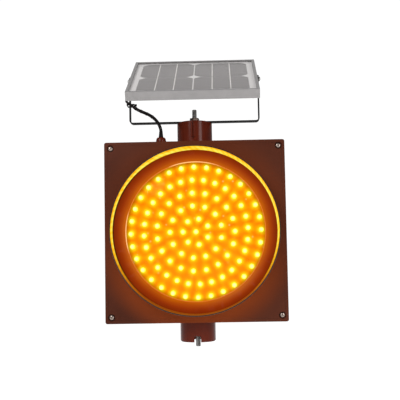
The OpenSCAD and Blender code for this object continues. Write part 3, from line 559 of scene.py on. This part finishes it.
def merge(bm):
    """Merges doubled points, drops faces of no area and turns the rest outwards."""
    bmesh.ops.remove_doubles(bm, verts=bm.verts, dist=1e-6)
    bmesh.ops.dissolve_degenerate(bm, edges=bm.edges, dist=1e-6)
    bmesh.ops.recalc_face_normals(bm, faces=bm.faces)


def written(bm, mesh, sharp_from):
    """Ends a bmesh by writing it to a mesh."""
    bm.to_mesh(mesh)
    bm.free()
    return smoothed(mesh, sharp_from)


def closed_mesh(name, verts, faces, sharp_from=35):
    """A mesh with its doubled points merged and its faces turned outwards."""
    mesh = mesh_of(name, verts, faces)
    bm = bmesh.new()
    bm.from_mesh(mesh)
    merge(bm)
    return written(bm, mesh, sharp_from)


def softened(name, width):
    """A copy of a CAD node with its sharp edges rounded over, which stands for that node."""
    flat_angle, sharp_angle = math.radians(0.8), math.radians(32)
    bm = bmesh.new()
    bm.from_mesh(nodes[name].data)
    bmesh.ops.remove_doubles(bm, verts=bm.verts, dist=1e-6)
    bmesh.ops.dissolve_limit(bm, angle_limit=flat_angle, verts=bm.verts, edges=bm.edges)
    sharp = [e for e in bm.edges if len(e.link_faces) == 2 and e.calc_face_angle(0) > sharp_angle]
    bmesh.ops.bevel(bm, geom=sharp, offset=width, segments=2, profile=0.5,
                    affect="EDGES", clamp_overlap=True)
    mesh = written(bm, bpy.data.meshes.new(name + "_soft"), 50)
    piece = new_piece(name + "_soft", mesh, body_of[name], slot_of[name], [name])
    weighted = piece.modifiers.new("normals", "WEIGHTED_NORMAL")
    weighted.keep_sharp = True
    return piece


def smooth_line(points, steps=6):
    """A Catmull-Rom curve through the points."""
    p = [Vector(q) for q in points]
    p = [2 * p[0] - p[1], *p, 2 * p[-1] - p[-2]]
    line = []
    for i in range(1, len(p) - 2):
        for k in range(steps):
            t = k / steps
            a, b, c, d = p[i - 1:i + 3]
            line.append(0.5 * (2 * b + (c - a) * t + (2 * a - 5 * b + 4 * c - d) * t ** 2
                               + (3 * b - a - 3 * c + d) * t ** 3))
    return [*line, p[-2]]


def swept(line, radius, sides=20):
    """A round tube along a line, closed at both ends; radius may be one number or a list."""
    radii = radius if isinstance(radius, list) else [radius] * len(line)
    verts = []
    side = Vector((0, 1, 0))
    for i, centre in enumerate(line):
        ahead = (line[min(i + 1, len(line) - 1)] - line[max(i - 1, 0)]).normalized()
        side = (side - ahead * side.dot(ahead)).normalized()
        other = ahead.cross(side)
        for k in range(sides):
            a = math.tau * k / sides
            verts.append(centre + radii[i] * (math.cos(a) * side + math.sin(a) * other))
    return verts, tube_faces(len(line), sides)


# ---- the lead ----

def add_lead(name, points, body_a, body_b, start, end):
    """One stretch of the lead across one joint, swept as a plain tube."""
    line = smooth_line(points)
    mesh = mesh_of(name, *swept(line, LEAD_D / 2))
    piece = new_piece(name + "_jacket", mesh, None, "rubber", [name])
    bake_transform(piece)


add_lead("lead_lower", LEAD_LOWER, "housing", "bracket", GLAND_TOP, TIE)
add_lead("lead_upper", LEAD_UPPER, "bracket", "panel", *UPPER_BEND)


# ---- threaded rod ----

def threaded_rod():
    """The clamping rod with its real thread cut from end to end, chamfered at both ends."""
    low, high = (corner.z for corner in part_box("threaded_rod"))
    sides, rows_a_turn, chamfer = 28, 6, 1 * MM
    thread_depth = 0.61 * THREAD_PITCH
    rows = int((high - low) / THREAD_PITCH * rows_a_turn)
    verts = []
    for i in range(rows + 1):
        z = low + (high - low) * i / rows
        limit = ROD_R - max(0, chamfer - (z - low), chamfer - (high - z))
        for k in range(sides):
            phase = (z / THREAD_PITCH - k / sides) % 1
            crest = min(1, max(0, 1.25 - abs(2 * phase - 1) * 1.5))
            r = min(limit, ROD_R - thread_depth * (1 - crest))
            a = math.tau * k / sides
            verts.append((r * math.cos(a), r * math.sin(a), z))
    mesh = mesh_of("rod_thread", verts, tube_faces(rows + 1, sides), 60)
    new_piece("rod_thread", mesh, "housing", "steel", ["threaded_rod"])


threaded_rod()


# ---- details on the lead and its gland ----

def stretch_of(line, start, length):
    """The part of a line from start to start + length along it."""
    travelled, part = 0.0, []
    for a, b in zip(line, line[1:]):
        if start <= travelled <= start + length:
            part.append(a)
        travelled += (b - a).length
    return part


def add_gland_boot():
    """Ribbed rubber taper where the lead leaves the gland."""
    length, wide, taper, groove = 17 * MM, 4.9 * MM, 1.9 * MM, 0.45 * MM
    line = stretch_of(smooth_line(LEAD_LOWER, 16), 0, length)
    radii = [wide - taper * i / len(line) - (groove if i % 6 > 3 else 0)
             for i in range(len(line))]
    new_piece("gland_boot", mesh_of("gland_boot", *swept(line, radii, 28)), "housing", "rubber")


def add_lead_sleeve():
    """Braided sleeve over the exposed lead, swelling where small ties hold its upper part."""
    start, length, plain_r, weave_h, knot_h = 15 * MM, 84 * MM, 3.1 * MM, 0.10 * MM, 0.55 * MM
    knots, knots_from = 7, 0.4
    line = stretch_of(smooth_line(LEAD_LOWER, 16), start, length)
    radii = []
    for i in range(len(line)):
        along = i / len(line)
        weave = weave_h * math.sin(i * 0.9) ** 2
        knot = max(0, 1 - abs((along * knots) % 1 - 0.5) * 5) if along > knots_from else 0
        radii.append(plain_r + weave + knot_h * knot)
    mesh = mesh_of("lead_sleeve", *swept(line, radii, 24), 60)
    sleeve = new_piece("lead_sleeve", mesh, None, "rubber")
    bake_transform(sleeve)


add_gland_boot()
add_lead_sleeve()


# ---- cross-head screws ----

def carved(verts, faces, cutter_verts, cutter_faces):
    """A mesh with another cut out of it; the cut is made in millimetres, to keep it exact."""
    objects = []
    for name, points, sides in (("whole", verts, faces), ("cutter", cutter_verts, cutter_faces)):
        mesh = closed_mesh(name, [Vector(v) / MM for v in points], sides)
        objects.append(bpy.data.objects.new(name, mesh))
        bpy.context.scene.collection.objects.link(objects[-1])
    whole, cutter = objects
    cut = whole.modifiers.new("cut", "BOOLEAN")
    cut.operation = "DIFFERENCE"
    cut.solver = "EXACT"
    cut.use_self = True
    cut.object = cutter
    bpy.context.view_layer.update()
    depsgraph = bpy.context.evaluated_depsgraph_get()
    mesh = bpy.data.meshes.new_from_object(whole.evaluated_get(depsgraph))
    mesh.transform(Matrix.Scale(MM, 4))
    bpy.data.objects.remove(whole)
    bpy.data.objects.remove(cutter)
    return mesh


def cross_screw(head_r, head_t, shank_r, shank_len):
    """A pan-head screw on Z, head up from 0, with a tapered cross recess."""
    crown = [(head_r * math.cos(a), head_t * (0.45 + 0.55 * math.sin(a)))
             for a in (math.radians(d) for d in range(0, 90, 12))]
    profile = [(0, -shank_len), (shank_r * 0.7, -shank_len), (shank_r, -shank_len + shank_r * 0.5),
               (shank_r, 0), (head_r, 0), *crown, (0, head_t)]
    bottom_reach, top_reach = head_r * 0.26, head_r * 0.50
    verts, faces = [], []
    for turn in (0, 90):
        spin = turned(turn + 20, "Z", 4)
        base = len(verts)
        # The second arm is a hair wider, so that no two of the cutter's faces fall together.
        arm = head_r * 0.10 + turn * 1e-7
        for z, reach in ((head_t * 0.28, bottom_reach), (head_t * 1.2, top_reach)):
            for x, y in ((-reach, -arm), (reach, -arm), (reach, arm), (-reach, arm)):
                verts.append(spin @ Vector((x, y, z)))
        faces += [tuple(base + i for i in quad) for quad in BOX_FACES]
    return carved(*lathe(profile, 32), verts, faces)


def add_screws(name, screw, places, body, slot, replaced):
    """One piece made of the same screw at several places."""
    bm = bmesh.new()
    for place in places:
        copy = screw.copy()
        copy.transform(place)
        bm.from_mesh(copy)
        bpy.data.meshes.remove(copy)
    merge(bm)
    mesh = written(bm, bpy.data.meshes.new(name), 30)
    return new_piece(name, mesh, body, slot, [replaced])


def facing(place, direction):
    """Turns +Z to a direction and moves the origin to a place."""
    turn = Vector(direction).to_track_quat("Z", "Y").to_matrix().to_4x4()
    return Matrix.Translation(place) @ turn


def add_cover_screws():
    low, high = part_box("cover_screws")
    face = low.y + COVER_HEAD_T
    places = [facing((x, face, z), (0, -1, 0))
              for x in (low.x + SCREW_HEAD_R, high.x - SCREW_HEAD_R)
              for z in (low.z + SCREW_HEAD_R, high.z - SCREW_HEAD_R)]
    screw = cross_screw(SCREW_HEAD_R, COVER_HEAD_T, SCREW_SHANK_R, high.y - face)
    screws = add_screws("cover_screws_cross", screw, places, "housing", "zinc", "cover_screws")
    screws.data.materials[0] = SCREW_ZINC.material


def add_pivot_bolts():
    under_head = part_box("pivot_bolts")[1].x - BOLT_HEAD_T
    inner = min(abs(v.co.x) for v in nodes["pivot_bolts"].data.vertices)
    screw = cross_screw(SCREW_HEAD_R, BOLT_HEAD_T, SCREW_SHANK_R, under_head - inner)
    places = [facing((side * under_head, 0, PIVOT.z), (side, 0, 0)) for side in (-1, 1)]
    add_screws("pivot_bolts_cross", screw, places, "panel", "steel", "pivot_bolts")


add_cover_screws()
add_pivot_bolts()


# ---- panel laminate ----

def on_panel(u, v, n):
    """A point given across the panel, up its slope and out of its face."""
    c, s = math.cos(PANEL_TILT), math.sin(PANEL_TILT)
    n += PIVOT_DROP
    return Vector((u, v * c - n * s, PIVOT.z + v * s + n * c))


def add_glass():
    """The pane, with its lower face lifted clear of the cells so that both can be seen."""
    lift = 0.25 * MM
    mesh = nodes["panel_glass"].data.copy()
    out = Vector((0, -math.sin(PANEL_TILT), math.cos(PANEL_TILT)))
    heights = [v.co.dot(out) for v in mesh.vertices]
    middle = (min(heights) + max(heights)) / 2
    for vertex, height in zip(mesh.vertices, heights):
        if height < middle:
            vertex.co += out * lift
    new_piece("glass_pane", mesh, "panel", "panel_glass", ["panel_glass"])


def add_ribbons():
    """Tinned ribbons that join the strips of each cell, laid along the slope."""
    half, near, far = RIBBON_W / 2, CELL_GAP / 2 + RIBBON_INSET, CELL_GAP / 2 + CELL - RIBBON_INSET
    verts, faces = [], []
    for across in (-1, 1):
        for k in range(1, CELL_STRIPS):
            u = across * (CELL_GAP / 2 + CELL * k / CELL_STRIPS)
            for up in (-1, 1):
                base = len(verts)
                corners = ((near, -half), (near, half), (far, half), (far, -half))
                verts += [on_panel(u + du, up * v, n) for n in RIBBON_HEIGHTS for v, du in corners]
                faces += [tuple(base + i for i in quad) for quad in BOX_FACES]
    new_piece("cell_ribbons", closed_mesh("cell_ribbons", verts, faces), "panel", "tinned")


add_glass()
add_ribbons()


# ---- lens edge ----

def lens_edge_painted_highlights():
    """Clear moulded edge of the lens, glowing amber, with painted pale highlights at the top and on
    the left.
    """
    g = Graph("lens_edge", (0.30, 0.10, 0.02), 0.15, Specular_IOR_Level=0.3)
    _, angle, _ = g.polar()
    # Painted highlights at the top and the left, where the lights would glint on the bead.
    top = g.between(g.math("SINE", angle), 0.90, 0.99)
    left = g.between(g.math("MULTIPLY", g.math("COSINE", angle), -1.0), 0.93, 1.0)
    painted_highlight = g.math("MULTIPLY", g.math("ADD", top, left), g.noise(30, 4))
    colour = g.ramp(painted_highlight, (0.10, (0.48, 0.090, 0.0)), (0.50, (1.0, 0.60, 0.24)))
    g.set(g.shader, Emission_Color=colour, Emission_Strength=0.85)
    return g


def add_lens_edge():
    """A thin bead where the lens meets its bezel."""
    flange_t, bead_r = 3 * MM, 0.9 * MM
    edge_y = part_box("lens")[1].y - flange_t - 0.6 * bead_r
    place = Matrix.Translation((0, edge_y, LAMP.z)) @ turned(90, "X", 4)
    profile = [(LENS_R - bead_r + bead_r * math.cos(a), bead_r * math.sin(a))
               for a in (math.tau * k / 10 for k in range(11))]
    mesh = closed_mesh("lens_edge", *lathe(profile, 160, place), 80)
    bead = new_piece("lens_edge", mesh, "housing", "lens")
    bead.data.materials[0] = lens_edge_painted_highlights().material


add_lens_edge()


# ---- softened moulded and folded parts ----

# How far each part's edges are rounded over, in millimetres.
SOFT_MM = {
    "front_cover": 0.7, "rear_case": 0.9, "visor": 0.25, "bezel_ring": 0.5, "top_socket": 0.8,
    "bottom_socket": 0.8, "gland": 0.4, "bracket_strap": 0.4, "switch_body": 0.4,
    "power_rocker": 0.4, "junction_box": 0.6, "junction_lid": 0.6, "lead_tie": 0.2,
    "frame_rail_front": 0.3, "frame_rail_rear": 0.3, "frame_rail_left": 0.3,
    "frame_rail_right": 0.3, "top_nut": 0.3, "pivot_nuts": 0.2, "bottom_nut": 0.3,
}
SPECIAL = {"bezel_ring": PAINTED_GLOW_BEZEL, "lead_tie": BLACK_NYLON}

for part, width in SOFT_MM.items():
    piece = softened(part, width * MM)
    if part in SPECIAL:
        piece.data.materials[0] = SPECIAL[part].material


# ---- floor, lights and world ----

def add_floor():
    """A wide pale disc, well below the lamp."""
    bm = bmesh.new()
    bmesh.ops.create_circle(bm, cap_ends=True, segments=96, radius=25)
    mesh = bpy.data.meshes.new("floor")
    bm.to_mesh(mesh)
    bm.free()
    floor = bpy.data.objects.new("floor", mesh)
    floor.location = (0, 0, cad_low.z - FLOOR_DROP)
    bpy.context.scene.collection.objects.link(floor)
    g = Graph("floor", (0.90, 0.90, 0.90), 0.8, Specular_IOR_Level=0.0,
              Emission_Color=(1, 1, 1, 1), Emission_Strength=0.80)
    floor.data.materials.append(g.material)


def add_softbox(name, place, target, size, power):
    data = bpy.data.lights.new(name, "AREA")
    data.shape = "RECTANGLE"
    data.size, data.size_y = size
    data.energy = power
    light = bpy.data.objects.new(name, data)
    light.location = place
    light.rotation_euler = (Vector(target) - Vector(place)).to_track_quat("-Z", "Y").to_euler()
    bpy.context.scene.collection.objects.link(light)


def add_world():
    """White studio: pure white behind the object, softer as a light source."""
    world = bpy.data.worlds.new("studio")
    world.use_nodes = True
    tree = world.node_tree
    background = tree.nodes["Background"]
    path = tree.nodes.new("ShaderNodeLightPath")
    level = tree.nodes.new("ShaderNodeMapRange")
    level.inputs["To Min"].default_value = 0.30
    level.inputs["To Max"].default_value = 1.05
    tree.links.new(path.outputs["Is Camera Ray"], level.inputs["Value"])
    tree.links.new(level.outputs[0], background.inputs["Strength"])
    background.inputs["Color"].default_value = (1, 1, 1, 1)
    bpy.context.scene.world = world


add_floor()
add_softbox("key", (-0.9, -1.7, 1.3), (0, 0, 0.25), (0.9, 0.9), 26)
add_softbox("fill", (1.2, -1.5, 0.7), (0, 0, 0.25), (0.6, 1.0), 14)
add_softbox("sky", (0.0, 1.7, 2.0), (0, 0, 0.5), (2.6, 2.2), 15)
add_world()
bpy.context.scene.view_settings.view_transform = "Standard"
